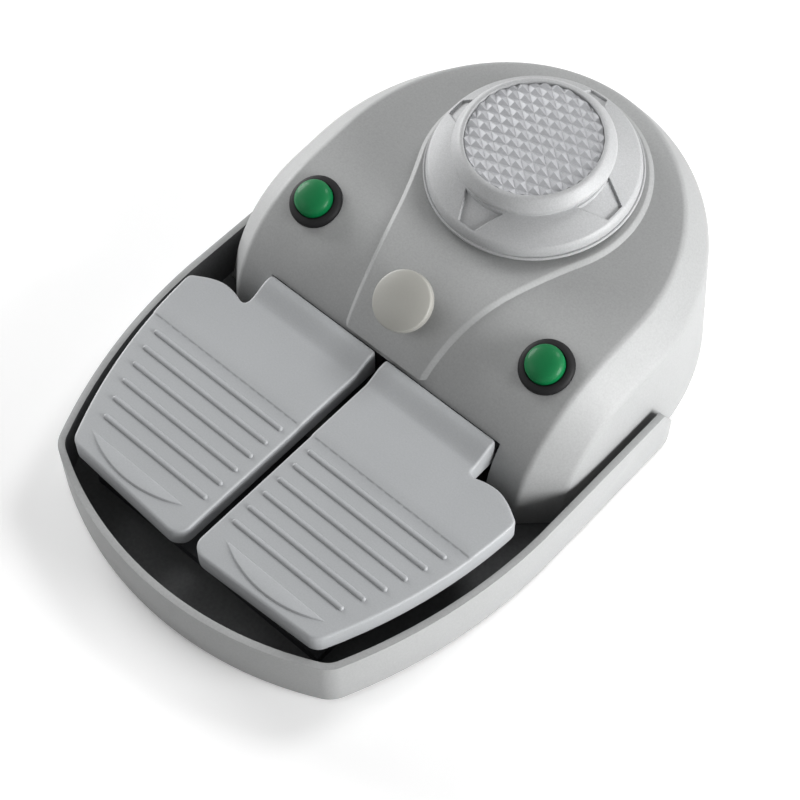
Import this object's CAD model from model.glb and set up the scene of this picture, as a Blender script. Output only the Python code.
import math

import bmesh
import bpy
import numpy as np
from mathutils import Matrix, Vector
from mathutils.geometry import delaunay_2d_cdt


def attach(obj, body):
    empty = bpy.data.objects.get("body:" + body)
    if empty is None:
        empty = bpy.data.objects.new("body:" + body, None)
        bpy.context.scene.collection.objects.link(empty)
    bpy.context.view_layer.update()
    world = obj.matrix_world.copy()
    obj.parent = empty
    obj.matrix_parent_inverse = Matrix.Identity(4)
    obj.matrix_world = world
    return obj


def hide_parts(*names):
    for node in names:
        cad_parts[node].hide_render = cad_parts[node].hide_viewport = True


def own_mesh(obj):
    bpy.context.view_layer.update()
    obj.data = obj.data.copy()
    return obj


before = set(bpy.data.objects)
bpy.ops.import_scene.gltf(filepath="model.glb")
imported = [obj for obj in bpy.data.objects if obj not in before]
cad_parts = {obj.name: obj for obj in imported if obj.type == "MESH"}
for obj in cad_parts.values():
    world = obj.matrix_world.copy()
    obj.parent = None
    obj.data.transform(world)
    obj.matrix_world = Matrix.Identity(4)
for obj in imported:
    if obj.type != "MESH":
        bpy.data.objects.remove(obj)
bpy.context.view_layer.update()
mm = 0.001

# Sizes that the shell pieces share, in millimetres, in the frame of the CAD
shell = {
    "noseY": 22.75,         # centre of the curved nose
    "noseZ": 9.3,
    "noseRadius": 46.0,
    "topSlope": 5.0,
    "bandDepth": 10.5,      # bevel between top and crease
    "mouthHalf": 51.3,
    "mouthTop": 33.0,
    "discY": 59.75,
}

# Holes through the cover: radii, places and tilts
holes = {
    "disc": 29.0,
    "lamp": 8.05,
    "lampX": 50.7,
    "lampTilt": 21.6,
    "guide": 8.15,
    "guideInPanel": 8.05,
    "guideTilt": 33.2,
    "gland": 6.12,
    "glandY": 116.25,
    "glandZ": 20.0,
}


def topZ(y, lift=0.0):  # height of the cover's top, raised along its normal by lift
    r = shell["noseRadius"] + lift
    slope = math.radians(shell["topSlope"])
    if y < shell["noseY"] - r * math.sin(slope):
        return shell["noseZ"] + math.sqrt(max(0.0, r * r - (y - shell["noseY"]) ** 2))
    return shell["noseZ"] + r / math.cos(slope) + (y - shell["noseY"]) * math.tan(slope)


def onNose(x, tilt, lift=0.0):  # a place on the curved nose, with Z along its normal
    t = math.radians(tilt)
    r = shell["noseRadius"] + lift
    spot = Vector((x, shell["noseY"] - r * math.sin(t), shell["noseZ"] + r * math.cos(t)))
    return Matrix.Translation(spot) @ Matrix.Rotation(t, 4, "X")


def atDisc(lift=0.0):  # the disc's place on the flat top
    t = math.radians(shell["topSlope"])
    y = shell["discY"]
    spot = Vector((0, y - lift * math.sin(t), topZ(y) + lift * math.cos(t)))
    return Matrix.Translation(spot) @ Matrix.Rotation(t, 4, "X")


def atButton(side):  # a push button's hole, on the right with side 1 and on the left with -1
    return onNose(side * holes["lampX"], holes["lampTilt"])


def atPlunger():
    return onNose(0, holes["guideTilt"])


def atGland():  # the inlet's hole in the back wall, with Z along it
    spot = Matrix.Translation((0, holes["glandY"], holes["glandZ"]))
    return spot @ Matrix.Rotation(math.radians(-90), 4, "X")


def srgb(r, g, b):  # a colour read off a screen, 0 to 255, as Blender wants it
    def line(c):
        c = c / 255
        return c / 12.92 if c <= 0.04045 else ((c + 0.055) / 1.055) ** 2.4
    return (line(r), line(g), line(b), 1.0)


# Materials

def newTree(name, family, inputs, outputs):
    tree = bpy.data.node_groups.new(name, family)
    for label, kind, value in inputs:
        socket = tree.interface.new_socket(label, in_out="INPUT", socket_type=kind)
        if value is not None:
            socket.default_value = value
    for label, kind in outputs:
        tree.interface.new_socket(label, in_out="OUTPUT", socket_type=kind)
    return tree, tree.nodes.new("NodeGroupInput"), tree.nodes.new("NodeGroupOutput")


def setInput(tree, socket, value):  # a number is set, and another node's output is linked
    if isinstance(value, (int, float)):
        socket.default_value = value
    else:
        tree.links.new(value, socket)


def mathNode(tree, operation, *values):
    node = tree.nodes.new("ShaderNodeMath")
    node.operation = operation
    for socket, value in zip(node.inputs, values):
        setInput(tree, socket, value)
    return node.outputs[0]


def noiseNode(tree, coords, scale, detail=2.0):
    node = tree.nodes.new("ShaderNodeTexNoise")
    node.inputs["Detail"].default_value = detail
    tree.links.new(coords, node.inputs["Vector"])
    setInput(tree, node.inputs["Scale"], scale)
    return node.outputs[0]


def makeGrain():  # fine speckle, broad mottle and a grained height, for moulded and painted faces
    f, c = "NodeSocketFloat", "NodeSocketColor"
    tree, start, end = newTree(
        "mouldedGrain", "ShaderNodeTree",
        [("Color", c, None), ("Speckle", f, 0.05), ("Mottle", f, 0.03), ("Roughness", f, 0.5),
         ("Rough Change", f, 0.08), ("Grain Scale", f, 1400.0)],
        [("Color", c), ("Roughness", f), ("Height", f)])
    coords = tree.nodes.new("ShaderNodeTexCoord").outputs["Object"]
    fine = noiseNode(tree, coords, start.outputs["Grain Scale"], 3.0)
    broad = noiseNode(tree, coords, 38.0, 4.0)

    def sway(noise, amount):  # the noise about zero, times a named input
        return mathNode(tree, "MULTIPLY", mathNode(tree, "SUBTRACT", noise, 0.5), start.outputs[amount])

    shade = mathNode(tree, "ADD", mathNode(tree, "ADD", sway(fine, "Speckle"), sway(broad, "Mottle")), 1.0)
    scaled = tree.nodes.new("ShaderNodeVectorMath")
    scaled.operation = "SCALE"
    tree.links.new(start.outputs["Color"], scaled.inputs[0])
    tree.links.new(shade, scaled.inputs["Scale"])
    rough = mathNode(tree, "ADD", sway(broad, "Rough Change"), start.outputs["Roughness"])
    tree.links.new(scaled.outputs[0], end.inputs["Color"])
    tree.links.new(rough, end.inputs["Roughness"])
    tree.links.new(fine, end.inputs["Height"])
    return tree


grainGroup = makeGrain()

# Colours as on a screen, grain scale in waves per metre, bump in millimetres
finishes = {
    "coverPaint": dict(color=(160, 161, 161), rough=0.5, speckle=0.16, mottle=0.05, scale=1500, bump=0.05),
    "trayPaint": dict(color=(158, 159, 159), rough=0.5, speckle=0.14, mottle=0.05, scale=1500, bump=0.05),
    "pedalPlastic": dict(color=(163, 165, 167), rough=0.47, speckle=0.10, mottle=0.05, scale=1800, bump=0.06),
    "discPaint": dict(color=(172, 173, 174), rough=0.52, speckle=0.22, mottle=0.04, scale=1900,
                      bump=0.05, metal=0.05),
    "padMetal": dict(color=(172, 173, 176), rough=0.5, speckle=0.12, mottle=0.06, scale=1500,
                     bump=0.04, metal=0.2),
    "knobCream": dict(color=(164, 163, 157), rough=0.42, speckle=0.03, mottle=0.03, scale=1200, bump=0.02),
    "capGreen": dict(color=(0, 104, 56), rough=0.5, speckle=0.04, mottle=0.05, scale=900, bump=0.01,
                     shine=0.18, coat=0.1),
    "bezelBlack": dict(color=(20, 20, 21), rough=0.6, speckle=0.1, mottle=0.1, scale=1400, bump=0.03,
                       shine=0.2),
    "footRubber": dict(color=(28, 28, 29), rough=0.75, speckle=0.2, mottle=0.15, scale=1000, bump=0.1),
    "matDark": dict(color=(82, 83, 84), rough=0.7, speckle=0.3, mottle=0.2, scale=900, bump=0.1),
    "domeSilicone": dict(color=(206, 206, 200), rough=0.5, speckle=0.05, mottle=0.05, scale=700, bump=0.03),
    "platedSteel": dict(color=(186, 187, 190), rough=0.28, speckle=0.08, mottle=0.12, scale=1200,
                        bump=0.02, metal=1.0),
    "blackSteel": dict(color=(52, 53, 56), rough=0.5, speckle=0.2, mottle=0.12, scale=1300,
                       bump=0.06, metal=0.2),
    "leafBrass": dict(color=(205, 186, 128), rough=0.3, speckle=0.05, mottle=0.12, scale=1200,
                      bump=0.02, metal=1.0),
    "boardGreen": dict(color=(18, 84, 52), rough=0.35, speckle=0.12, mottle=0.1, scale=800, bump=0.03),
    "blockGreen": dict(color=(40, 120, 70), rough=0.4, speckle=0.06, mottle=0.06, scale=900, bump=0.02),
    "relayBlue": dict(color=(34, 74, 150), rough=0.35, speckle=0.05, mottle=0.06, scale=900, bump=0.02),
}


def makeFinish(name, look):
    material = bpy.data.materials.new(name)
    material.use_nodes = True
    tree = material.node_tree
    shader = tree.nodes["Principled BSDF"]
    shader.inputs["Metallic"].default_value = look.get("metal", 0.0)
    shader.inputs["Specular IOR Level"].default_value = look.get("shine", 0.5)
    shader.inputs["Coat Weight"].default_value = look.get("coat", 0.0)
    grain = tree.nodes.new("ShaderNodeGroup")
    grain.node_tree = grainGroup
    grain.inputs["Color"].default_value = srgb(*look["color"])
    grain.inputs["Speckle"].default_value = look["speckle"] * 2
    grain.inputs["Mottle"].default_value = look["mottle"] * 2
    grain.inputs["Roughness"].default_value = look["rough"]
    grain.inputs["Grain Scale"].default_value = look["scale"]
    bump = tree.nodes.new("ShaderNodeBump")
    bump.inputs["Strength"].default_value = 0.5
    bump.inputs["Distance"].default_value = look["bump"] * mm
    tree.links.new(grain.outputs["Color"], shader.inputs["Base Color"])
    tree.links.new(grain.outputs["Roughness"], shader.inputs["Roughness"])
    tree.links.new(grain.outputs["Height"], bump.inputs["Height"])
    tree.links.new(bump.outputs["Normal"], shader.inputs["Normal"])
    return material


finish = {name: makeFinish(name, look) for name, look in finishes.items()}
print("materials made:", len(finish))


# Mesh helpers

def newObject(name, data):
    piece = bpy.data.objects.new(name, data)
    bpy.context.scene.collection.objects.link(piece)
    return piece


def weld(bm, reach=0.004):  # joins points closer than reach, in millimetres
    bmesh.ops.remove_doubles(bm, verts=bm.verts, dist=reach * mm)


def meshFrom(name, bm):
    mesh = bpy.data.meshes.new(name)
    bm.to_mesh(mesh)
    bm.free()
    return mesh


def shadeMesh(mesh, sharp):  # smooth shading with sharp edges above an angle in degrees
    mesh.shade_smooth()
    mesh.set_sharp_from_angle(angle=math.radians(sharp))


def addPiece(name, bm, body, material, sharp=32.0):
    weld(bm)
    bmesh.ops.recalc_face_normals(bm, faces=bm.faces)
    mesh = meshFrom(name, bm)
    shadeMesh(mesh, sharp)
    mesh.materials.append(finish[material])
    piece = newObject(name, mesh)
    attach(piece, body)
    return piece


def ringsMesh(rings, loop=True):  # quads between rows of points, in millimetres
    bm = bmesh.new()
    rows = [[bm.verts.new(Vector(p) * mm) for p in ring] for ring in rings]
    for a, b in zip(rows, rows[1:]):
        count = len(a)
        for i in range(count if loop else count - 1):
            j = (i + 1) % count
            bm.faces.new((a[i], a[j], b[j], b[i]))
    return bm


def lathe(profile, place, steps=96):  # a turned piece; profile is radius and height, poles closed
    turns = [2 * math.pi * k / steps for k in range(steps)]
    return ringsMesh([[place @ Vector((r * math.cos(a), r * math.sin(a), z)) for a in turns]
                      for r, z in profile])


def roundCorners(points, radii, steps=4):  # swaps each inner corner of a line for a short curve
    out = [Vector(points[0])]
    for before, corner, after, radius in zip(points, points[1:], points[2:], radii):
        before, corner, after = Vector(before), Vector(corner), Vector(after)
        back, ahead = before - corner, after - corner
        reach = min(radius, 0.45 * back.length, 0.45 * ahead.length)
        if reach < 1e-6:
            out += [corner.copy() for k in range(steps + 1)]
            continue
        a, b = corner + back.normalized() * reach, corner + ahead.normalized() * reach
        for k in range(steps + 1):
            t = k / steps
            out.append(a * (1 - t) ** 2 + corner * (2 * t * (1 - t)) + b * t * t)
    out.append(Vector(points[-1]))
    return out


def settle(piece):  # turns modifiers into plain mesh
    graph = bpy.context.evaluated_depsgraph_get()
    mesh = bpy.data.meshes.new_from_object(piece.evaluated_get(graph))
    piece.modifiers.clear()
    piece.data = mesh
    return mesh


def nodeMesh(node):  # a CAD node's mesh, ready to edit
    bm = bmesh.new()
    bm.from_mesh(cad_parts[node].data)
    weld(bm, 0.002)
    return bm


# A CAD node with its edges eased, and a finish picked for each face by its place and normal
def softCopy(node, name, body, width, pick, segments=2, angle=30.0):
    bm = nodeMesh(node)
    bmesh.ops.dissolve_limit(bm, angle_limit=math.radians(1.0), verts=bm.verts, edges=bm.edges)
    piece = newObject(name, meshFrom(name, bm))
    ease = piece.modifiers.new("ease", "BEVEL")
    ease.width = width * mm
    ease.segments = segments
    ease.limit_method = "ANGLE"
    ease.angle_limit = math.radians(angle)
    ease.use_clamp_overlap = True
    mesh = settle(piece)
    shadeMesh(mesh, 38)
    choices = [pick(face.center / mm, face.normal) for face in mesh.polygons]
    names = sorted(set(choices))
    mesh.materials.clear()
    for choice in names:
        mesh.materials.append(finish[choice])
    for face, choice in zip(mesh.polygons, choices):
        face.material_index = names.index(choice)
    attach(piece, body)
    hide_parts(node)
    return piece


def cutWith(piece, cutters):  # drills turned cutters out of a piece
    for bm in cutters:
        weld(bm)
        bmesh.ops.recalc_face_normals(bm, faces=bm.faces)
        cutter = newObject("cutter", meshFrom("cutter", bm))
        drill = piece.modifiers.new("drill", "BOOLEAN")
        drill.operation = "DIFFERENCE"
        drill.solver = "EXACT"
        drill.object = cutter
        settle(piece)
        bpy.data.objects.remove(cutter)


def sliceOff(bm, height, side):  # takes off what is above a height, or with side -1 what is below it
    cut = bmesh.ops.bisect_plane(bm, geom=bm.verts[:] + bm.edges[:] + bm.faces[:], clear_outer=True,
                                 plane_co=(0, 0, height * mm), plane_no=(0, 0, side))
    bmesh.ops.edgenet_fill(bm, edges=[e for e in cut["geom_cut"] if isinstance(e, bmesh.types.BMEdge)])


def drillShape(place, radius, low, high, steps=64):
    return lathe([(0, low), (radius, low), (radius, high), (0, high)], place, steps)


def circlesMeet(p, rp, q, rq, side):
    p, q = Vector(p), Vector(q)
    d = (q - p).length
    a = (rp * rp - rq * rq + d * d) / (2 * d)
    h = math.sqrt(rp * rp - a * a)
    u = (q - p) / d
    return p + a * u + side * h * Vector((-u.y, u.x))


def heading(p, q):
    return math.degrees(math.atan2(q[1] - p[1], q[0] - p[0]))


def arcPoints(c, r, a, b, n):
    return [Vector((c[0] + r * math.cos(math.radians(a + (b - a) * i / n)),
                    c[1] + r * math.sin(math.radians(a + (b - a) * i / n)))) for i in range(n + 1)]


def edgeDistance(points, outline):  # how far each point lies from a closed line, in plan
    p = np.array([(v[0], v[1]) for v in points])
    best = np.full(len(p), 1e9)
    n = len(outline)
    for i in range(n):
        a, b = np.array(outline[i][:2]), np.array(outline[(i + 1) % n][:2])
        d = b - a
        t = np.clip(((p - a) @ d) / max(d @ d, 1e-12), 0, 1)
        best = np.minimum(best, np.hypot(*(p - (a + t[:, None] * d)).T))
    return best


def offsetLoop(outline, inward):  # a closed line moved to its left by inward
    n, out = len(outline), []
    for i in range(n):
        a, b, c = outline[i - 1], outline[i], outline[(i + 1) % n]
        d, e = (b - a).normalized(), (c - b).normalized()
        normal = Vector((-(d.y + e.y), d.x + e.x)).normalized()
        out.append(b + normal * inward)
    return out


# A plate under a height field
def plateMesh(outline, extra, height, low, spacing=4.0, rings=(0.2, 0.5, 0.9, 1.4, 2.0, 2.8)):
    points = [v.copy() for v in outline]
    inner = []
    for d in rings:
        ring = offsetLoop(outline, d)
        far = edgeDistance(ring, outline)
        inner += [v for v, f in zip(ring, far) if f > d - 0.04]
    xs, ys = [v.x for v in outline], [v.y for v in outline]
    sparse = [Vector((x, y)) for x in np.arange(min(xs), max(xs), spacing)
              for y in np.arange(min(ys), max(ys), spacing)]
    far = edgeDistance(sparse, outline)
    inner += list(extra) + [v for v, f in zip(sparse, far) if f > rings[-1] + 0.6]
    count = len(points)
    verts, _, faces, origin, _, _ = delaunay_2d_cdt(
        points + inner, [(i, (i + 1) % count) for i in range(count)], [], 1, 1e-4)
    far = edgeDistance(verts, outline)
    heights = height(np.array([(v.x, v.y) for v in verts]), far)
    bm = bmesh.new()
    top = [bm.verts.new((v.x * mm, v.y * mm, z * mm)) for v, z in zip(verts, heights)]
    for face in faces:
        bm.faces.new([top[i] for i in face])
    where = {}
    for i, source in enumerate(origin):
        for k in source:
            where[k] = i
    rim = [top[where[k]] for k in range(count)]
    bottom = [bm.verts.new((v.co.x, v.co.y, low * mm)) for v in rim]
    for i in range(count):
        j = (i + 1) % count
        bm.faces.new((rim[i], rim[j], bottom[j], bottom[i]))
    bm.faces.new(bottom)
    return bm


def smooth(t):
    t = np.clip(t, 0, 1)
    return t * t * (3 - 2 * t)


def quarter(far, reach, drop):  # how much a rounded edge has fallen at this distance in from it
    t = np.clip(1 - far / reach, 0, 1)
    return drop * (1 - np.sqrt(np.maximum(0.0, 1 - t * t)))


def fillet(points, radii, steps=6):  # a closed plan line with its corners rounded
    n, out = len(points), []
    for i in range(n):
        a, b, c = Vector(points[i - 1]), Vector(points[i]), Vector(points[(i + 1) % n])
        back, ahead = a - b, c - b
        reach = min(radii[i], 0.48 * back.length, 0.48 * ahead.length)
        if reach < 0.02:
            out.append(b)
            continue
        p, q = b + back.normalized() * reach, b + ahead.normalized() * reach
        shares = [k / steps for k in range(steps + 1)]
        out += [p * (1 - t) ** 2 + b * (2 * t * (1 - t)) + q * t * t for t in shares]
    return out


def evenLine(points, step):  # adds points so that no edge of a closed line is longer than step
    out = []
    for i, a in enumerate(points):
        b = points[(i + 1) % len(points)]
        parts = max(1, math.ceil((b - a).length / step))
        out += [a + (b - a) * (k / parts) for k in range(parts)]
    return out


def shapeTree(name, inputs):  # an empty Geometry Nodes tree with named inputs
    shape = "NodeSocketGeometry"
    return newTree(name, "GeometryNodeTree", [("Geometry", shape, None)] + inputs, [("Geometry", shape)])


def growPiece(name, mesh, tree, values):  # runs a tree over a mesh and keeps the plain result
    piece = newObject(name, mesh)
    grow = piece.modifiers.new("grow", "NODES")
    grow.node_group = tree
    for item in tree.interface.items_tree:
        if item.in_out == "INPUT" and item.name in values:
            grow[item.identifier] = values[item.name]
    settle(piece)
    return piece


print("helpers ready")


# Pedals

pedalLook = {
    "gap": 4.8,           # between the two pedals
    "top": 31.6,
    "depth": 8.0,         # side wall
    "round": 1.05,        # eased edge
    "front": -113.25,
    "frontRadius": 241.5,
    "cornerRadius": 5.5,
    "sideRadius": 186.4,
    "tabHigh": 3.2,
    "tabHalf": 50.4,
    "tabBack": -17.5,
    "armsTop": 23.58,     # where the CAD arms are cut off under the plate
    "stepDrop": 0.5,
    "stepAhead": 0.74,    # from the last rib, in rib pitches
    "ribY": -59.297,      # the rib next to the step
    "ribPitch": 6.92,
    "ribWidth": 2.0,
    "ribHigh": 0.95,
    "crescentHigh": 0.8,
}
sideC, sideR = (-112.5, -24.25), pedalLook["sideRadius"]
sideEnd = (81.5, -37.55)
tabNotch = [(73.2, -34.6), (67.2, -31.0), (62.3, -29.3), (57.2, -29.5)]
pedalRings = (0.08, 0.2, 0.38, 0.6, 0.85, 1.15)
cornerR, frontR = pedalLook["cornerRadius"], pedalLook["frontRadius"]
pedalC = circlesMeet((0, pedalLook["front"] + cornerR + frontR), frontR, sideC, sideR - cornerR, 1)
ribY = pedalLook["ribY"]
stepY = ribY + pedalLook["ribPitch"] * pedalLook["stepAhead"]


def pedalOutline():
    start = heading(sideC, pedalC)
    edge = arcPoints(sideC, sideR, start, heading(sideC, sideEnd), 30)
    corner = arcPoints(pedalC, cornerR, 272, start + 360, 8)
    inner, back, half = pedalLook["gap"] / 2, pedalLook["tabBack"], pedalLook["tabHalf"]
    points = [(inner, -107.0), (inner + 3.6, -110.1)] + corner[1:] + edge[1:]
    points += tabNotch + [(half, -31.6), (half, back), (inner, back)]
    radii = [3.2, 3.0] + [0] * (len(corner) + len(edge) - 2) + [2.2, 2.6, 2.6, 2.4, 2.9, 1.6, 1.0]
    return evenLine(fillet(points, radii), 1.3)


def pedalHeight(p, far):
    look = pedalLook
    y = p[:, 1]
    along = 0.5 * smooth((y + 28.4) / 8.4) + 0.5 * np.clip((y + 27.8) / 7.2, 0, 1)
    lift = look["tabHigh"] * along
    step = look["stepDrop"] * (1 - smooth((y - stepY + 0.35) / 0.7))
    return look["top"] + lift - step - quarter(far, look["round"], look["round"])


def pedalFeatureLines():
    out = [Vector((x, stepY + d)) for d in (-0.42, -0.2, 0.0, 0.2, 0.42) for x in np.arange(4.5, 73, 1.6)]
    out += [Vector((x, y)) for y in np.arange(-30.0, -18.9, 0.9) for x in np.arange(4.5, 48.4, 2.4)]
    return out


def crescentMesh():
    x0 = 2.4 + pedalLook["ribPitch"] * 0.89
    x1 = x0 + pedalLook["ribPitch"] * 6.4
    y, bow = ribY - 5.93 * pedalLook["ribPitch"], pedalLook["ribPitch"] * 0.9
    r = ((x1 - x0) ** 2 / 4 + bow * bow) / (2 * bow)
    mid = ((x0 + x1) / 2, y + r - bow)
    span = math.degrees(math.asin((x1 - x0) / 2 / r))
    line = arcPoints(mid, r, 270 - span, 270 + span, 60)
    line += [Vector((x1 + (x0 - x1) * k / 40, y)) for k in range(1, 40)]
    base = pedalLook["top"] - pedalLook["stepDrop"]

    def height(p, far):  # full height along the bow, fading towards the straight side
        fade = 0.3 + 0.7 * smooth((y + 0.6 - p[:, 1]) / (0.8 * bow))
        return base - 0.04 + pedalLook["crescentHigh"] * fade * smooth(far / 0.55)
    return plateMesh(line, [], height, base - 0.5, 1.5, (0.15, 0.3, 0.5, 0.7))


def makeRibTree():
    tree, start, end = shapeTree("roundedRibs", [
        ("Rib Radius", "NodeSocketFloat", 0.00085), ("Rib Material", "NodeSocketMaterial", None)])
    add, link = tree.nodes.new, tree.links.new
    curve = add("GeometryNodeMeshToCurve")
    ring = add("GeometryNodeCurvePrimitiveCircle")
    ring.inputs["Resolution"].default_value = 20
    sweep = add("GeometryNodeCurveToMesh")
    ball = add("GeometryNodeMeshUVSphere")
    ball.inputs["Segments"].default_value = 20
    ball.inputs["Rings"].default_value = 12
    ends = add("GeometryNodeInstanceOnPoints")
    real = add("GeometryNodeRealizeInstances")
    join = add("GeometryNodeJoinGeometry")
    paint = add("GeometryNodeSetMaterial")
    link(start.outputs["Geometry"], curve.inputs["Mesh"])
    link(start.outputs["Rib Radius"], ring.inputs["Radius"])
    link(curve.outputs["Curve"], sweep.inputs["Curve"])
    link(ring.outputs["Curve"], sweep.inputs["Profile Curve"])
    link(start.outputs["Geometry"], ends.inputs["Points"])
    link(start.outputs["Rib Radius"], ball.inputs["Radius"])
    link(ball.outputs["Mesh"], ends.inputs["Instance"])
    link(ends.outputs["Instances"], join.inputs["Geometry"])
    link(sweep.outputs["Mesh"], join.inputs["Geometry"])
    link(join.outputs["Geometry"], real.inputs["Geometry"])
    link(real.outputs["Geometry"], paint.inputs["Geometry"])
    link(start.outputs["Rib Material"], paint.inputs["Material"])
    link(paint.outputs["Geometry"], end.inputs["Geometry"])
    return tree


ribTree = makeRibTree()


def ribLines(side):
    look = pedalLook
    mesh = bpy.data.meshes.new("ribLines")
    x0 = 2.4 + look["ribPitch"] * 0.64
    z = look["top"] - look["stepDrop"] + look["ribHigh"] - look["ribWidth"] / 2
    verts, edges = [], []
    for i in range(6):
        y = ribY - i * look["ribPitch"]
        x1 = sideC[0] + math.sqrt(sideR ** 2 - (y - sideC[1]) ** 2) - look["ribPitch"] * (0.9 + 0.05 * i)
        edges.append((len(verts), len(verts) + 1))
        verts += [(side * x0 * mm, y * mm, z * mm), (side * x1 * mm, y * mm, z * mm)]
    mesh.from_pydata(verts, edges, [])
    return mesh


def makePedal(side, word):
    body = "pedal_" + word + "_body"
    flip = Matrix.Scale(side, 4, (1, 0, 0))
    low = pedalLook["top"] - pedalLook["depth"]
    skin = plateMesh(pedalOutline(), pedalFeatureLines(), pedalHeight, low, 4.0, pedalRings)
    bmesh.ops.transform(skin, matrix=flip, verts=skin.verts)
    plate = addPiece("pedalPlate_" + word, skin, body, "pedalPlastic", 50)
    bow = crescentMesh()
    bmesh.ops.transform(bow, matrix=flip, verts=bow.verts)
    addPiece("pedalCrescent_" + word, bow, body, "pedalPlastic", 60)
    ribs = growPiece("pedalRibs_" + word, ribLines(side), ribTree,
                     {"Rib Radius": pedalLook["ribWidth"] / 2 * mm, "Rib Material": finish["pedalPlastic"]})
    ribs.data.shade_smooth()
    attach(ribs, body)
    arms = nodeMesh("pedal_" + word)
    sliceOff(arms, pedalLook["armsTop"], 1)
    addPiece("pedalArms_" + word, arms, body, "pedalPlastic", 35)
    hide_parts("pedal_" + word)


makePedal(1, "right")
makePedal(-1, "left")
print("pedals made")


# Cover

coverLook = {
    "ridgeHalf": 64.0, "ridgeY": 35.75, "ridgeBack": 69.0,
    "creaseHalf": 74.8, "creaseY": 32.95, "creaseBack": 78.8,
    "skirtHalf": 77.8, "skirtY": 34.25, "skirtBack": 82.0, "skirtLow": 4.2,
    "innerHalf": 56.0, "innerBack": 8.0, "ridgeRound": 1.5, "creaseRound": 1.8, "wall": 2.6,
    "noseSteps": 30, "backSteps": 44,
}


def coverRow(a, b, c, d):  # skirt, crease, ridge and inner top point, as one half section
    line = roundCorners([a, b, c, d], [coverLook["creaseRound"], coverLook["ridgeRound"]], 6)
    half = []
    for i in range(4):
        half.append(line[0].lerp(line[1], i / 4))
    half += line[1:7]
    for i in range(4):
        half.append(line[7].lerp(line[8], i / 4))
    half += line[8:]
    last = half[-1]
    mouth = shell["mouthHalf"] * last.x / coverLook["innerHalf"]
    half += [Vector((mouth * k / 8, last.y, last.z)) for k in range(8, -1, -1)]
    return half


def coverSections():
    look, rows = coverLook, []
    r, band = shell["noseRadius"], shell["bandDepth"]
    mouth = math.degrees(math.acos((shell["mouthTop"] - shell["noseZ"]) / r))
    slope = shell["topSlope"]
    angles = [90 + (mouth - 90) * k / 10 for k in range(11)]
    angles += [mouth + (slope - mouth) * k / look["noseSteps"] for k in range(1, look["noseSteps"] + 1)]

    def nosePoint(x, t, lift):
        rr = r + lift
        t = math.radians(t)
        return Vector((x, shell["noseY"] - rr * math.sin(t), shell["noseZ"] + rr * math.cos(t)))

    for k, t in enumerate(angles):
        c, d = nosePoint(look["ridgeHalf"], t, 0), nosePoint(look["innerHalf"], t, 0)
        b = nosePoint(look["creaseHalf"], t, -band)
        low = min(b.z - 0.5, look["skirtLow"])
        a = Vector((look["skirtHalf"], b.y + 0.4, low))
        if k == 0:
            drop = Vector((0, 0, look["skirtLow"] - shell["noseZ"]))
            rows.append((coverRow(a, b + drop * 0.99, c + drop, d + drop), True))
        rows.append((coverRow(a, b, c, d), k < 10))
    yTop = shell["noseY"] - r * math.sin(math.radians(slope))
    yBand = shell["noseY"] - (r - band) * math.sin(math.radians(slope))
    for k in range(1, 7):
        f = k / 7
        y, yc = yTop + (look["ridgeY"] - yTop) * f, yBand + (look["creaseY"] - yBand) * f
        ys = yBand + 0.4 + (look["skirtY"] - yBand) * f
        rows.append((coverRow(
            Vector((look["skirtHalf"], ys, look["skirtLow"])),
            Vector((look["creaseHalf"], yc, topZ(yc, -band))),
            Vector((look["ridgeHalf"], y, topZ(y))),
            Vector((look["innerHalf"], y, topZ(y)))), False))
    for k in range(look["backSteps"] + 1):
        p = math.radians(90 * k / look["backSteps"])
        co, si = math.cos(p), math.sin(p)
        cy = look["ridgeY"] + look["ridgeBack"] * si
        inward = Vector((co / look["ridgeHalf"], si / look["ridgeBack"])).normalized() * look["innerBack"]
        dy = cy - inward.y
        by = look["creaseY"] + look["creaseBack"] * si
        rows.append((coverRow(
            Vector((look["skirtHalf"] * co, look["skirtY"] + look["skirtBack"] * si, look["skirtLow"])),
            Vector((look["creaseHalf"] * co, by, topZ(by, -band))),
            Vector((look["ridgeHalf"] * co, cy, topZ(cy))),
            Vector((max(0.0, look["ridgeHalf"] * co - inward.x), dy, topZ(dy)))), False))
    return rows


def makeCover():
    bm = bmesh.new()
    previous, openBefore = None, False
    for half, isOpen in coverSections():
        full = [Vector(p) for p in half] + [Vector((-p.x, p.y, p.z)) for p in reversed(half[:-1])]
        row = [bm.verts.new(p * mm) for p in full]
        if previous:
            for i in range(len(row) - 1):
                inside = min(abs(full[i].x), abs(full[i + 1].x)) < shell["mouthHalf"] - 0.01
                if openBefore and inside and full[i].z < shell["mouthTop"] + 1 and full[i].y < 0:
                    continue
                bm.faces.new((previous[i], previous[i + 1], row[i + 1], row[i]))
        previous, openBefore = row, isOpen
    weld(bm, 0.01)
    bmesh.ops.recalc_face_normals(bm, faces=bm.faces)
    probe = max(bm.faces, key=lambda f: f.calc_center_median().z)
    if probe.normal.z < 0:
        bmesh.ops.reverse_faces(bm, faces=bm.faces)
    piece = newObject("coverShell", meshFrom("coverShell", bm))
    wall = piece.modifiers.new("wall", "SOLIDIFY")
    wall.thickness = coverLook["wall"] * mm
    wall.offset = -1
    wall.use_even_offset = False
    settle(piece)
    cutWith(piece, [
        drillShape(atDisc(), holes["disc"], -6, 6, 96), drillShape(atPlunger(), holes["guide"], -8, 8),
        drillShape(atButton(1), holes["lamp"], -8, 8), drillShape(atButton(-1), holes["lamp"], -8, 8),
        drillShape(atGland(), holes["gland"], -12, 4)])
    mesh = piece.data
    shadeMesh(mesh, 34)
    mesh.materials.clear()
    mesh.materials.append(finish["coverPaint"])
    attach(piece, "base")
    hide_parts("cover")


makeCover()
print("cover made")


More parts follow.
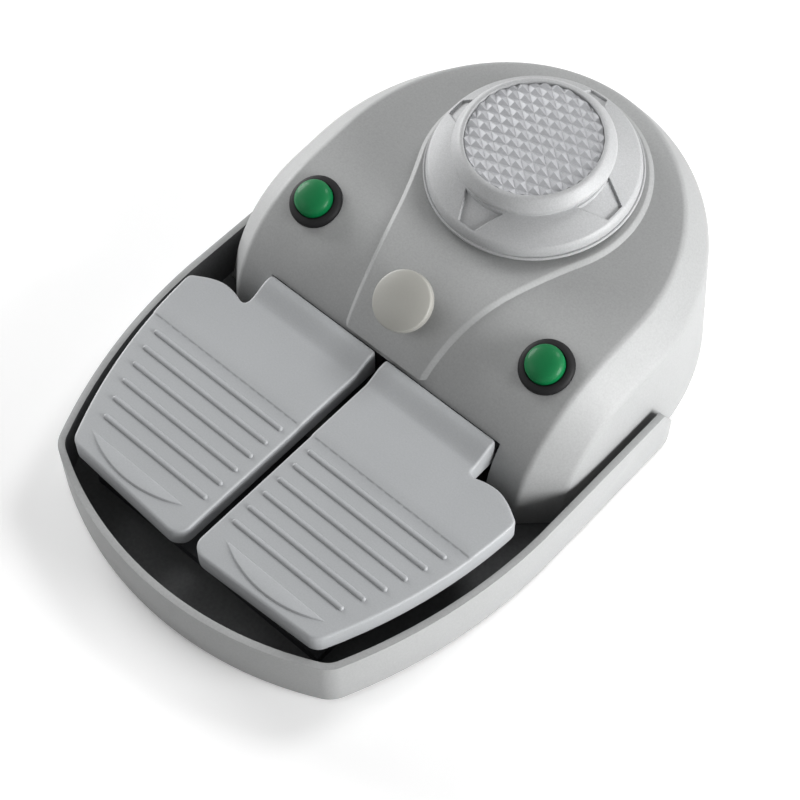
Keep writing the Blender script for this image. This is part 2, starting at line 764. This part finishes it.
# Keyhole panel

panelLook = {"high": 1.4, "bevel": 2.0, "neckHalf": 15.6, "radius": 38.4, "flare": 200.0, "lowest": 35.3}
# Steps up the panel's bevel: how far out, in bevel widths, and how high, in panel heights
panelSteps = [(1.5, -0.9), (1.05, -0.08), (0.95, 0.04), (0.72, 0.34), (0.45, 0.7), (0.25, 0.93),
              (0.12, 0.985), (0.0, 1.0)]


def panelEdge(out):
    look, c0 = panelLook, (0, shell["discY"])
    neckY = shell["noseY"] - shell["noseRadius"] * 0.88
    c = circlesMeet(c0, look["flare"] + look["radius"], (look["neckHalf"], neckY), look["flare"], 1)
    a1, a0 = heading(c, c0), heading(c, (look["neckHalf"], neckY))
    side = arcPoints(c, look["flare"] - out, a0, a1, 40)
    top = arcPoints(c0, look["radius"] + out, a1 - 180, 90, 60)
    return side + top[1:]


def makePanel():
    look, bm = panelLook, bmesh.new()
    made = []
    for out, lift in panelSteps:
        ring = [Vector((p.x, p.y, topZ(p.y, lift * look["high"]))) for p in panelEdge(out * look["bevel"])]
        row = ring + [Vector((-p.x, p.y, p.z)) for p in reversed(ring[:-1])]
        made.append([bm.verts.new(p * mm) for p in row])
    for a, b in zip(made, made[1:]):
        for i in range(len(a) - 1):
            bm.faces.new((a[i], a[i + 1], b[i + 1], b[i]))
    inner, n = made[-1], len(made[-1])
    columns = [inner[:(n + 1) // 2]]
    for k in range(1, 8):
        f = k / 8
        line = []
        for i in range((n + 1) // 2):
            p, q = inner[i].co, inner[n - 1 - i].co
            line.append(bm.verts.new(p.lerp(q, f)) if i < n // 2 else inner[n // 2])
        columns.append(line)
    columns.append([inner[n - 1 - i] for i in range((n + 1) // 2)])
    for a, b in zip(columns, columns[1:]):
        for i in range(len(a) - 1):
            quad = [a[i], b[i], b[i + 1], a[i + 1]]
            quad = [v for k, v in enumerate(quad) if v not in quad[:k]]
            if len(quad) > 2:
                bm.faces.new(quad)
    bm.faces.new([made[0][0]] + [row[0] for row in made[1:]] + [c[0] for c in columns[1:-1]]
                 + [row[-1] for row in reversed(made)])
    sliceOff(bm, look["lowest"], -1)
    piece = addPiece("keyholePanel", bm, "base", "coverPaint", 30)
    cutWith(piece, [drillShape(atDisc(), holes["disc"], -6, 6, 96),
                    drillShape(atPlunger(), holes["guideInPanel"], -8, 8)])
    piece.data.set_sharp_from_angle(angle=math.radians(30))


makePanel()
print("panel made")


# Tray

trayLook = {"eased": 0.7, "rimLow": 22.2, "half": 80.0, "middleY": -10.0, "length": 112.0, "outer": 0.72}


def trayPick(center, normal):  # grey outside and on the rim, dark inside
    look = trayLook
    outward = Vector((center.x / look["half"], (center.y - look["middleY"]) / look["length"]))
    onWall = normal.xy.dot(outward) > 0.15 and outward.length > look["outer"]
    return "trayPaint" if onWall or center.z > look["rimLow"] or normal.z < -0.6 else "matDark"


softCopy("base_tray", "traySoft", "base", trayLook["eased"], trayPick, 3, 35.0)
print("tray made")


# Switch leaves, which flatten under the pedals

leafLook = {"eased": 0.05, "kept": 0.15}


def makeLeaf(word):
    leaf = softCopy("switch_leaves_" + word, "switchLeaf_" + word, "base",
                    leafLook["eased"], lambda center, normal: "leafBrass")
    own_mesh(leaf)


makeLeaf("left")
makeLeaf("right")


# Disc

discLook = {
    "low": 3.6, "rim": 37.4, "edgeHigh": 5.1, "flangeHigh": 9.1, "flangeBow": 0.7,
    "waist": 25.4, "capRadius": 27.6, "capTop": 21.0, "ring": 3.9,
    "pocketRadius": 23.2, "pocketDeep": 1.5, "recessDeep": 1.1, "recessIn": 26.6, "recessOut": 34.6,
    "recessHalfIn": 7.4, "recessHalfOut": 3.4, "recessSlope": 0.28, "recessLimit": 35.3, "steps": 520,
}
# The flange's edge from below: how far in from the rim, and how high
rimShape = [(1.9, 0.0), (0.5, 0.06), (0.15, 0.25), (0.0, 0.6), (0.0, 1.15), (0.12, 1.4), (0.4, 1.5),
            (0.68, 1.46), (0.8, 1.36), (0.88, 1.5), (0.9, 2.3), (1.0, 3.1), (1.25, 3.9), (1.6, 4.55)]


def discProfile():
    look = discLook
    low, cap, top, drop, waist = (look[key] for key in ("low", "capRadius", "capTop", "ring", "waist"))
    line = [(0, low), (20, low)] + [(look["rim"] - inset, low + lift) for inset, lift in rimShape]
    outer, edge, join = look["rim"] - 2.05, low + look["edgeHigh"], low + look["flangeHigh"]
    count = 44
    for k in range(count + 1):
        f = k / count
        bow = look["flangeBow"] * f * (1 - f)
        line.append((outer + (waist + 0.6 - outer) * f, edge + (join - edge) * f + bow))
    line += [(waist + 0.2, join + 0.15), (waist, join + 0.5), (waist, join + 1.6), (waist + 0.4, join + 2.5),
             (cap - 0.7, top - drop - 1.5), (cap - 0.15, top - drop - 1.1), (cap, top - drop - 0.5),
             (cap - 0.06, top - drop + 0.2), (cap - 0.5, top - drop + 0.9)]
    pocket, floor = look["pocketRadius"], top - look["pocketDeep"]
    for k in range(7):
        f = 1 - k / 6
        line.append((pocket + 1.2 + (cap - pocket - 2.1) * f, top - 0.12 - (drop - 1.5) * f ** 1.3))
    line += [(pocket + 0.35, top), (pocket + 0.1, top - 0.08), (pocket, top - 0.25), (pocket, floor),
             (pocket - 0.6, floor), (12, floor), (0, floor)]
    return line


def recessDepth(r, angle):  # four trapezoid recesses, on the X and Y lines of the disc
    look = discLook
    turned = (angle + math.pi / 4) % (math.pi / 2) - math.pi / 4
    x, y = r * math.cos(turned), abs(r * math.sin(turned))
    f = (x - look["recessIn"]) / (look["recessOut"] - look["recessIn"])
    half = look["recessHalfIn"] + (look["recessHalfOut"] - look["recessHalfIn"]) * f
    edge = min(half - y, look["recessOut"] - x)
    t = min(1.0, max(0.0, edge / look["recessSlope"]))
    return look["recessDeep"] * t * t * (3 - 2 * t) if look["recessIn"] < r < look["recessLimit"] else 0.0


def makeDisc():
    place, steps, rings = atDisc(), discLook["steps"], []
    flangeTop = discLook["low"] + discLook["flangeHigh"] + 0.1
    for r, z in discProfile():
        ring = []
        for k in range(steps):
            a = 2 * math.pi * k / steps
            drop = recessDepth(r, a) if z < flangeTop else 0.0
            ring.append(place @ Vector((r * math.cos(a), r * math.sin(a), z - drop)))
        rings.append(ring)
    piece = addPiece("discShell", ringsMesh(rings), "disc_body", "discPaint", 42)
    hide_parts("rocker_disc")


makeDisc()

padLook = {"radius": 22.9, "pitch": 3.8, "cross": 60.0, "turn": 20.0, "deep": 1.0, "crown": 1.1,
           "base": 19.8, "cells": 15, "coneShare": 0.7035, "tip": 0.12}


def makePadTree():  # pyramids on a square lattice, cut round, sheared to diamonds and crowned
    f, look = "NodeSocketFloat", padLook
    tree, start, end = shapeTree("gripPyramids", [
        ("Pad Radius", f, 0.0229), ("Cell Length", f, 0.0044), ("Cross Angle", f, 1.047), ("Turn", f, 0.35),
        ("Pyramid Height", f, 0.0012), ("Crown", f, 0.001), ("Pad Material", "NodeSocketMaterial", None)])
    add, link = tree.nodes.new, tree.links.new

    def mathOf(operation, *values):
        return mathNode(tree, operation, *values)

    cell = start.outputs["Cell Length"]
    grid = add("GeometryNodeMeshGrid")
    grid.inputs["Vertices X"].default_value = look["cells"]
    grid.inputs["Vertices Y"].default_value = look["cells"]
    wide = mathOf("MULTIPLY", cell, look["cells"] - 1)
    link(wide, grid.inputs["Size X"])
    link(wide, grid.inputs["Size Y"])
    cone = add("GeometryNodeMeshCone")
    cone.inputs["Vertices"].default_value = 4
    cone.inputs["Radius Top"].default_value = look["tip"] * mm
    link(mathOf("MULTIPLY", cell, look["coneShare"]), cone.inputs["Radius Bottom"])
    link(start.outputs["Pyramid Height"], cone.inputs["Depth"])
    turnCone = add("GeometryNodeTransform")
    turnCone.inputs["Rotation"].default_value = (0, 0, math.pi / 4)
    link(cone.outputs["Mesh"], turnCone.inputs["Geometry"])
    copies = add("GeometryNodeInstanceOnPoints")
    link(grid.outputs["Mesh"], copies.inputs["Points"])
    link(turnCone.outputs["Geometry"], copies.inputs["Instance"])
    real = add("GeometryNodeRealizeInstances")
    link(copies.outputs["Instances"], real.inputs["Geometry"])
    place = add("GeometryNodeInputPosition")
    parts = add("ShaderNodeSeparateXYZ")
    link(place.outputs["Position"], parts.inputs["Vector"])
    turn = start.outputs["Turn"]
    other = mathOf("SUBTRACT", turn, start.outputs["Cross Angle"])
    shear = add("ShaderNodeCombineXYZ")
    for axis, wave in (("X", "COSINE"), ("Y", "SINE")):
        one = mathOf("MULTIPLY", parts.outputs["X"], mathOf(wave, turn))
        two = mathOf("MULTIPLY", mathOf("MULTIPLY", parts.outputs["Y"], -1.0), mathOf(wave, other))
        link(mathOf("ADD", one, two), shear.inputs[axis])
    link(parts.outputs["Z"], shear.inputs["Z"])
    move = add("GeometryNodeSetPosition")
    link(real.outputs["Geometry"], move.inputs["Geometry"])
    link(shear.outputs["Vector"], move.inputs["Position"])
    tube = add("GeometryNodeMeshCylinder")
    tube.inputs["Vertices"].default_value = 128
    tube.inputs["Depth"].default_value = 0.01
    link(start.outputs["Pad Radius"], tube.inputs["Radius"])
    both = add("GeometryNodeMeshBoolean")
    both.operation = "INTERSECT"
    both.solver = "EXACT"
    link(move.outputs["Geometry"], both.inputs["Mesh 2"])
    link(tube.outputs["Mesh"], both.inputs["Mesh 2"])
    spot = add("GeometryNodeInputPosition")
    apart = add("ShaderNodeSeparateXYZ")
    link(spot.outputs["Position"], apart.inputs["Vector"])

    def squareOf(value):
        return mathOf("MULTIPLY", value, value)

    square = mathOf("ADD", squareOf(apart.outputs["X"]), squareOf(apart.outputs["Y"]))
    part = mathOf("DIVIDE", square, squareOf(start.outputs["Pad Radius"]))
    rise = mathOf("MULTIPLY", mathOf("SUBTRACT", 1.0, part), start.outputs["Crown"])
    lift = add("ShaderNodeCombineXYZ")
    link(rise, lift.inputs["Z"])
    crown = add("GeometryNodeSetPosition")
    link(both.outputs["Mesh"], crown.inputs["Geometry"])
    link(lift.outputs["Vector"], crown.inputs["Offset"])
    paint = add("GeometryNodeSetMaterial")
    link(crown.outputs["Geometry"], paint.inputs["Geometry"])
    link(start.outputs["Pad Material"], paint.inputs["Material"])
    link(paint.outputs["Geometry"], end.inputs["Geometry"])
    return tree


def makePad():
    look = padLook
    cell = look["pitch"] / math.sin(math.radians(look["cross"]))
    pad = growPiece("gripPyramids", bpy.data.meshes.new("gripStart"), makePadTree(), {
        "Pad Radius": look["radius"] * mm, "Cell Length": cell * mm,
        "Cross Angle": math.radians(look["cross"]), "Turn": math.radians(look["turn"]),
        "Pyramid Height": look["deep"] * mm, "Crown": look["crown"] * mm, "Pad Material": finish["padMetal"]})
    metres = Matrix.Diagonal((mm, mm, mm, 1))
    pad.data.transform(metres @ atDisc(look["base"]) @ metres.inverted())
    print("pad triangles:", len(pad.data.polygons))
    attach(pad, "disc_body")
    r, low, crown = look["radius"], look["base"] + 0.02, look["crown"]
    floor = lathe([(0, low - 1.4), (r, low - 1.4), (r, low - 0.1), (r - 0.1, low), (16, low + crown * 0.5),
                   (8, low + crown * 0.87), (0, low + crown)], atDisc())
    addPiece("gripBase", floor, "disc_body", "padMetal", 30)
    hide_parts("grip_pad")


makePad()
print("disc made")


# Buttons and plunger

buttonLook = {"bezel": 9.4, "bezelHigh": 2.2, "barrel": 7.9, "barrelLow": -20.0, "bore": 6.7,
              "cap": 6.55, "capLow": -9.0, "dome": 6.6}
plungerLook = {"radius": 10.4, "top": 10.6, "thick": 5.4, "stem": 6.0, "stemLow": -17.0}


def makeButton(side, word):
    look, place = buttonLook, atButton(side)
    b, h, low = look["bezel"], look["bezelHigh"], look["barrelLow"]
    barrel, bore, cap = look["barrel"], look["bore"], look["cap"]
    ring = [(bore, low), (barrel, low), (barrel, -0.3), (b, -0.3), (b, 0.6), (b - 0.1, 1.0), (b - 0.35, 1.4),
            (b - 0.8, 1.8), (b - 1.5, h - 0.1), (b - 2.1, h), (bore + 0.25, h), (bore + 0.08, h - 0.1),
            (bore, h - 0.4), (bore, low)]
    bezel = addPiece("buttonBezel_" + word, lathe(ring, place, 96), "base", "bezelBlack", 60)
    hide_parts("button_body_" + word)
    dome = [(0, look["capLow"]), (cap, look["capLow"]), (cap, h + 1.5), (cap - 0.04, h + 1.8)]
    for k in range(1, 15):
        a = math.radians(90 * k / 14)
        across = cap * math.cos(a) ** 0.85 if k < 14 else 0.0
        dome.append((across, h + 1.7 + (look["dome"] - 3.4) * math.sin(a)))
    piece = addPiece("buttonDome_" + word, lathe(dome, place, 96), "cap_" + word + "_body", "capGreen",
                     60)
    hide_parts("button_cap_" + word)


makeButton(1, "right")
makeButton(-1, "left")


def makePlunger():
    look = plungerLook
    r, top, low = look["radius"], look["top"], look["top"] - look["thick"]
    stem, stemLow = look["stem"], look["stemLow"]
    line = [(0, stemLow), (stem, stemLow), (stem, low), (r - 1.4, low), (r - 0.5, low + 0.2),
            (r, low + 0.9), (r, top - 1.9), (r - 0.1, top - 1.62), (r - 0.32, top - 1.42)]
    edge = r - 0.6
    line += [(edge * (1 - k / 16), top - 1.3 * (1 - k / 16) ** 2.6) for k in range(17)]
    piece = addPiece("plungerHead", lathe(line, atPlunger(), 128), "plunger_body", "knobCream",
                     60)
    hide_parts("plunger_button")


makePlunger()
print("buttons made")


# Finishes for the CAD nodes that stay

nodeFinish = {
    "rubber_feet": "footRubber", "ballast_plate": "blackSteel", "ballast_screws": "platedSteel",
    "cover_screws": "platedSteel", "hinge_rod": "platedSteel", "rod_clips": "blackSteel",
    "pedal_spring_left": "platedSteel", "pedal_spring_right": "platedSteel",
    "pedal_bumpers": "footRubber", "pedal_switches": "bezelBlack", "switch_screws": "platedSteel",
    "button_nut_left": "platedSteel", "button_nut_right": "platedSteel",
    "button_spring_left": "platedSteel", "button_spring_right": "platedSteel",
    "button_terminals": "leafBrass", "plunger_guide": "coverPaint", "plunger_clip": "blackSteel",
    "plunger_spring": "platedSteel", "plunger_switch": "bezelBlack", "rocker_mount": "blackSteel",
    "rocker_mount_screws": "platedSteel", "rocker_switches": "bezelBlack",
    "rocker_domes_front_back": "domeSilicone", "rocker_domes_sides": "domeSilicone",
    "gimbal_cross": "platedSteel", "disc_screws": "platedSteel", "circuit_board": "boardGreen",
    "board_screws": "platedSteel", "terminal_block": "blockGreen", "board_relays": "relayBlue",
    "gland_body": "bezelBlack", "gland_seal": "footRubber", "gland_nut": "bezelBlack",
}
for name, choice in nodeFinish.items():
    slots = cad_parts[name].data.materials
    if len(slots) == 0:
        slots.append(finish[choice])
    for i in range(len(slots)):
        slots[i] = finish[choice]
print("node finishes set:", len(nodeFinish))


# Floor, light and camera

# Places and sizes in metres, powers in watts
roomLook = {"light": 0.28, "seen": 0.95}
floorLook = {
    "size": 6.0, "tone": 0.93, "rough": 0.6,
    "lift": {"From Min": 0.25, "From Max": 1.1, "To Min": 0.16, "To Max": 0.75},
}
lamps = {
    "sideLamp": {"spot": (0.95, 0.2, 0.28), "size": 0.6, "power": 13.0},
    "leftLamp": {"spot": (-0.95, 0.1, 0.32), "size": 0.6, "power": 8.5},
    "fillLamp": {"spot": (-0.6, -0.7, 0.5), "size": 0.6, "power": 1.1},
    "backLamp": {"spot": (0.15, 0.8, 0.9), "size": 0.4, "power": 4.6},
}
lampTarget = Vector((0, 0, 0.03))
cameraLook = {"azimuth": 42.08, "elevation": 57.01, "roll": -0.185, "lens": 87.75,
              "spot": (0.2496, -0.28465, 0.5705)}


def makeStage():  # a pale floor that the camera sees brighter far from the object
    mesh = bpy.data.meshes.new("floorSheet")
    size, tone = floorLook["size"], floorLook["tone"]
    corners = [(-size, -size, 0), (size, -size, 0), (size, size, 0), (-size, size, 0)]
    mesh.from_pydata(corners, [], [(0, 1, 2, 3)])
    floor = newObject("floorSheet", mesh)
    material = bpy.data.materials.new("paleFloor")
    material.use_nodes = True
    shader = material.node_tree.nodes["Principled BSDF"]
    shader.inputs["Base Color"].default_value = (tone, tone, tone, 1)
    shader.inputs["Roughness"].default_value = floorLook["rough"]
    shader.inputs["Emission Color"].default_value = (1, 1, 1, 1)
    tree = material.node_tree
    path, where = tree.nodes.new("ShaderNodeLightPath"), tree.nodes.new("ShaderNodeTexCoord")
    far, ramp = tree.nodes.new("ShaderNodeVectorMath"), tree.nodes.new("ShaderNodeMapRange")
    far.operation = "LENGTH"
    tree.links.new(where.outputs["Object"], far.inputs[0])
    tree.links.new(far.outputs["Value"], ramp.inputs["Value"])
    for label, value in floorLook["lift"].items():
        ramp.inputs[label].default_value = value
    lift = mathNode(tree, "MULTIPLY", path.outputs["Is Camera Ray"], ramp.outputs["Result"])
    tree.links.new(lift, shader.inputs["Emission Strength"])
    mesh.materials.append(material)


def makeLamp(name, look):
    data = bpy.data.lights.new(name, "AREA")
    data.shape = "DISK"
    data.size = look["size"]
    data.energy = look["power"]
    lamp = newObject(name, data)
    lamp.location = look["spot"]
    lamp.rotation_euler = (lampTarget - Vector(look["spot"])).to_track_quat("-Z", "Y").to_euler()


def makeWorld():  # the camera and reflections see a lighter room than the one that lights the object
    world = bpy.data.worlds.new("paleRoom")
    bpy.context.scene.world = world
    world.use_nodes = True
    tree = world.node_tree
    tree.nodes.clear()
    out = tree.nodes.new("ShaderNodeOutputWorld")
    room, seen = tree.nodes.new("ShaderNodeBackground"), tree.nodes.new("ShaderNodeBackground")
    mix = tree.nodes.new("ShaderNodeMixShader")
    room.inputs["Strength"].default_value = roomLook["light"]
    seen.inputs["Color"].default_value = (1, 1, 1, 1)
    seen.inputs["Strength"].default_value = roomLook["seen"]
    path = tree.nodes.new("ShaderNodeLightPath")
    glossy, through = path.outputs["Is Glossy Ray"], path.outputs["Is Transmission Ray"]
    direct = mathNode(tree, "MAXIMUM", glossy, through)
    tree.links.new(mathNode(tree, "MAXIMUM", path.outputs["Is Camera Ray"], direct), mix.inputs[0])
    tree.links.new(room.outputs[0], mix.inputs[1])
    tree.links.new(seen.outputs[0], mix.inputs[2])
    tree.links.new(mix.outputs[0], out.inputs["Surface"])


makeStage()
makeWorld()
for name, look in lamps.items():
    makeLamp(name, look)


def makeCamera():
    look = cameraLook
    az, el, roll = (math.radians(look[key]) for key in ("azimuth", "elevation", "roll"))
    back = Vector((math.sin(az) * math.cos(el), -math.cos(az) * math.cos(el), math.sin(el)))
    right = Vector((math.cos(az), math.sin(az), 0))
    up = back.cross(right)
    right2, up2 = right * math.cos(roll) + up * math.sin(roll), up * math.cos(roll) - right * math.sin(roll)
    data = bpy.data.cameras.new("photoCamera")
    data.sensor_width = 36.0
    data.lens = look["lens"]
    data.clip_start = 0.05
    camera = newObject("photoCamera", data)
    turned = Matrix((right2, up2, back)).transposed().to_4x4()
    camera.matrix_world = Matrix.Translation(look["spot"]) @ turned
    bpy.context.scene.camera = camera


makeCamera()
bpy.context.scene.view_settings.view_transform = "Standard"
print("stage, lights and camera set")
